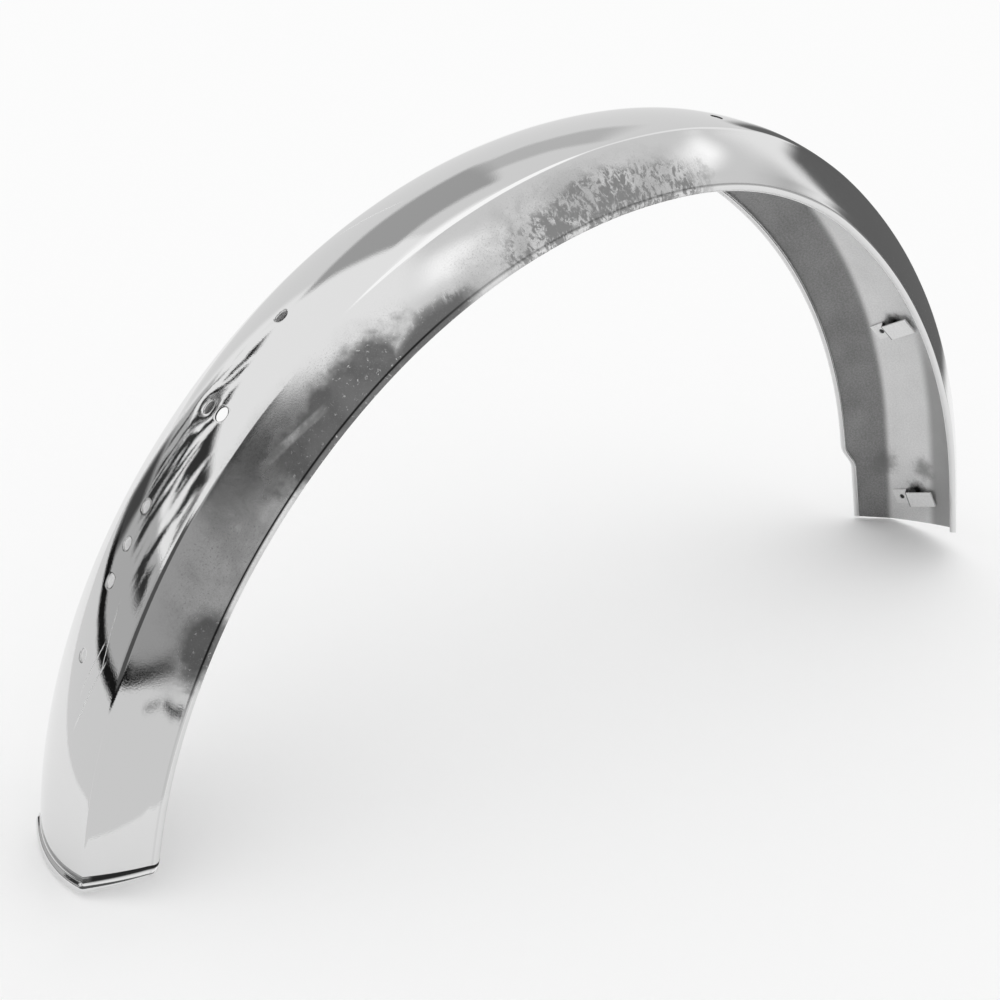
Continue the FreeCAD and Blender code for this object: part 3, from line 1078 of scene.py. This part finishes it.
def screen_material(name, tone, soft, streaks, closed):
    """Glow that fades out at the screen's edges, whole or broken into upright streaks."""
    n = Nodes(name)
    u = n.attribute("screen_u")
    v = n.attribute("screen_v")

    def inset(socket):
        return n.ramp(n.math("MINIMUM", socket, n.math("SUBTRACT", 1.0, socket)), 0.0, soft)

    cover = n.ramp(v, 0.0, soft) if closed else n.math("MULTIPLY", inset(u), inset(v))
    if streaks:
        drawn_out = n.vector(n.math("MULTIPLY", u, streaks), n.math("MULTIPLY", v, STREAK_SPREAD))
        pattern = n.noise(drawn_out, scale=1.0, detail=3.0, roughness=0.5, distortion=0.6)
        cover = n.math("MULTIPLY", cover, n.ramp(pattern, STREAK_START, STREAK_FULL))
    glow = n.add("ShaderNodeEmission")
    glow.inputs["Color"].default_value = grey(1.0)
    glow.inputs["Strength"].default_value = tone
    clear = n.add("ShaderNodeBsdfTransparent")
    mixed = n.add("ShaderNodeMixShader")
    n.link(cover, mixed.inputs[0])
    n.link(clear.outputs[0], mixed.inputs[1])
    n.link(glow.outputs[0], mixed.inputs[2])
    n.link(mixed.outputs[0], n.output.inputs["Surface"])
    return n.material


def add_screen(name, eye, azimuths, elevations, distance, tone, soft=0.25, streaks=0.0, far_top=None):
    """A curved studio screen round a point of the object, which shows only in reflections."""
    columns = max(2, math.ceil((azimuths[1] - azimuths[0]) / SCREEN_STEP))
    rows = max(2, math.ceil((elevations[1] - elevations[0]) / SCREEN_STEP))
    bottom, top = elevations
    lean = 0.0 if far_top is None else far_top - top
    points = []
    shares = []
    for r in range(rows + 1):
        for c in range(columns + 1):
            u, v = c / columns, r / rows
            azimuth = azimuths[0] + (azimuths[1] - azimuths[0]) * u
            elevation = bottom + (top + lean * u - bottom) * v
            points.append(eye + direction_at(azimuth, elevation) * distance)
            shares.append((u, v))
    wide = columns + 1
    faces = [(r * wide + c, r * wide + c + 1, (r + 1) * wide + c + 1, (r + 1) * wide + c)
             for r in range(rows) for c in range(columns)]
    mesh = bpy.data.meshes.new(name)
    mesh.from_pydata(points, [], faces)
    for k, label in enumerate(("screen_u", "screen_v")):
        mesh.attributes.new(label, "FLOAT", "POINT").data.foreach_set("value", [q[k] for q in shares])
    closed = azimuths[1] - azimuths[0] >= 360
    mesh.materials.append(screen_material(name, tone, soft, streaks, closed))
    screen = bpy.data.objects.new(name, mesh)
    hide_but_reflect(screen)


def add_floor_screen(name, corners, tone, soft, height=0.002):
    """A screen lying just over the floor, which shows only in reflections."""
    mesh = bpy.data.meshes.new(name)
    mesh.from_pydata([(x, y, height) for x, y in corners], [], [(0, 1, 2, 3)])
    for label, values in (("screen_u", (0.0, 1.0, 1.0, 0.0)), ("screen_v", (0.0, 0.0, 1.0, 1.0))):
        mesh.attributes.new(label, "FLOAT", "POINT").data.foreach_set("value", values)
    mesh.materials.append(screen_material(name, tone, soft, 0.0, False))
    hide_but_reflect(bpy.data.objects.new(name, mesh))


def hide_but_reflect(screen):
    screen.visible_camera = False
    screen.visible_diffuse = False
    screen.visible_shadow = False
    bpy.context.scene.collection.objects.link(screen)


def add_world():
    world = bpy.data.worlds.new("studio")
    world.use_nodes = True
    background = world.node_tree.nodes["Background"]
    background.inputs["Color"].default_value = grey(1.0)
    background.inputs["Strength"].default_value = 1.0
    bpy.context.scene.world = world


def add_camera():
    heading = math.radians(CAMERA_HEADING)
    pitch = math.radians(CAMERA_PITCH)
    roll = math.radians(CAMERA_ROLL)
    ahead = Vector((math.sin(heading), math.cos(heading), 0))
    forward = ahead * math.cos(pitch) + Vector((0, 0, math.sin(pitch)))
    level = Vector((math.cos(heading), -math.sin(heading), 0))
    upright = level.cross(forward)
    right = level * math.cos(roll) + upright * math.sin(roll)
    up = right.cross(forward)
    data = bpy.data.cameras.new("camera")
    data.sensor_width = CAMERA_SENSOR
    data.lens = CAMERA_LENS
    camera = bpy.data.objects.new("camera", data)
    turn = Matrix((right, up, -forward)).transposed().to_4x4()
    camera.matrix_world = Matrix.Translation(CAMERA_PLACE) @ turn
    bpy.context.scene.collection.objects.link(camera)
    bpy.context.scene.camera = camera


shell, weld_points = build_shell()
shell.data.materials.append(plating_material())
shell.data.materials.append(inside_material())
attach(shell, "root")
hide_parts("mudguard_shell")
clip_finish = clip_material(weld_points)
for clip_name in ("wire_clip_lower", "wire_clip_upper"):
    dress_clip(clip_name, clip_finish)

add_floor()
add_world()
add_screen("ceiling", TOP_EYE, azimuths=(0.0, 360.0), elevations=(63.0, 90.0),
           distance=9.0, tone=1.25, soft=0.25)
add_screen("far_wall", TOP_EYE, azimuths=(15.0, 101.0), elevations=(-1.0, 75.0),
           distance=12.0, tone=0.8, soft=0.05)
add_screen("far_panel", TOP_EYE, azimuths=(66.0, 105.0), elevations=(30.0, 58.0),
           distance=11.0, tone=0.42, soft=0.12)
add_screen("far_shade", TOP_EYE, azimuths=(40.0, 80.0), elevations=(32.0, 48.0),
           distance=11.5, tone=0.58, soft=0.2)
add_screen("side_wall", TOP_EYE, azimuths=(256.0, 352.0), elevations=(22.0, 70.0),
           distance=12.0, tone=0.76, soft=0.1)
add_screen("side_window", TOP_EYE, azimuths=(256.0, 290.0), elevations=(42.0, 55.0),
           distance=6.0, tone=1.3, soft=0.4)
add_screen("front_window", TOP_EYE, azimuths=(326.0, 344.0), elevations=(32.0, 44.0),
           distance=6.0, tone=1.3, soft=0.4)
add_screen("tail_band", TAIL_EYE, azimuths=(96.0, 170.0), elevations=(-6.1, 17.0),
           distance=1.32, tone=0.5, soft=0.06)
add_screen("tail_band_dark", TAIL_EYE, azimuths=(96.0, 118.0), elevations=(-6.1, 8.0),
           distance=1.30, tone=0.07, soft=0.3)
add_screen("tail_streaks", TAIL_EYE, azimuths=(98.0, 160.0), elevations=(6.0, 34.0),
           distance=1.28, tone=0.04, soft=0.12, streaks=16.0)
add_screen("tail_corner", TAIL_EYE, azimuths=(158.0, 222.0), elevations=(-6.1, 30.0),
           distance=1.31, tone=0.1, soft=0.12)
add_screen("skirting", TAIL_EYE, azimuths=(96.0, 252.0), elevations=(-6.4, -2.4),
           distance=1.27, tone=0.01, soft=0.1)
add_screen("camera_side", TAIL_EYE, azimuths=(205.0, 252.0), elevations=(-6.1, 34.0),
           distance=1.29, tone=0.38, soft=0.1)
add_screen("camera_side_dark", TAIL_EYE, azimuths=(222.0, 258.0), elevations=(18.0, 40.0),
           distance=1.26, tone=0.05, soft=0.2)
add_screen("front_wall", FRONT_EYE, azimuths=(-18.0, 59.0), elevations=(-22.0, 50.0),
           distance=0.45, tone=0.14, soft=0.09, far_top=38.0)
add_screen("front_side", FRONT_EYE, azimuths=(-30.0, -10.0), elevations=(10.0, 36.0),
           distance=2.0, tone=0.55, soft=0.4)
add_floor_screen("table_near", oblong((-1.6, -1.3), (-0.335, -0.02)), TABLE_TONE, TABLE_SOFT)
add_floor_screen("table_far", oblong((-1.6, -0.02), (-0.395, 1.3)), TABLE_TONE, TABLE_SOFT)
add_floor_screen("dark_strip", ((-0.75, -0.54), (-0.68, -0.46), (-0.5, -0.35), (-0.55, -0.42)),
                 tone=0.03, soft=0.06, height=0.004)
add_floor_screen("dark_strip_end", ((-0.75, -0.42), (-0.67, -0.37), (-0.67, -0.46), (-0.75, -0.53)),
                 tone=0.25, soft=0.25, height=0.006)
add_camera()
bpy.context.scene.view_settings.view_transform = "Standard"
